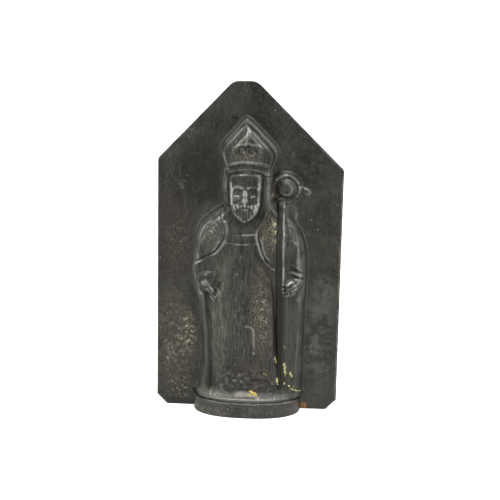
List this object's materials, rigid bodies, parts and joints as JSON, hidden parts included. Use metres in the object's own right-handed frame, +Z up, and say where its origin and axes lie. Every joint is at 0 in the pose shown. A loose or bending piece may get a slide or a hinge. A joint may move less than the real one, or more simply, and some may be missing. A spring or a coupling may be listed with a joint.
{
  "type": "chocolate mould",
  "caption": "Pressed tinned-steel chocolate mould in two halves: standing bishop figure with crosier on an oval plinth, open at the foot, in a flat gabled flange.",
  "frame": {"origin": "centre of the open mouth under the plinth, on the plane where the two halves meet, level with the surface that the mould stands on", "axes": "+Z up through the figure, -Y out of the figure's front, +X to the right seen from the front"},
  "size_m": [0.1642, 0.0602, 0.3],
  "materials": {
    "front_tin": "darkened tinplate, worn grey on the ridges",
    "rear_tin": "darkened tinplate",
    "front_strip_tin": "darkened tinplate with solder and rust spots",
    "rear_strip_tin": "darkened tinplate with solder"
  },
  "bodies": {
    "front_half": {"front_shell": "front_tin", "front_mouth_band": "front_strip_tin"},
    "rear_half": {"rear_shell": "rear_tin", "rear_mouth_band": "rear_strip_tin"}
  },
  "joints": [
    {"name": "rear_pull", "type": "slide", "parent": "front_half", "child": "rear_half", "axis": [0, 1, 0], "range_m": [0, 0.08]}
  ]
}
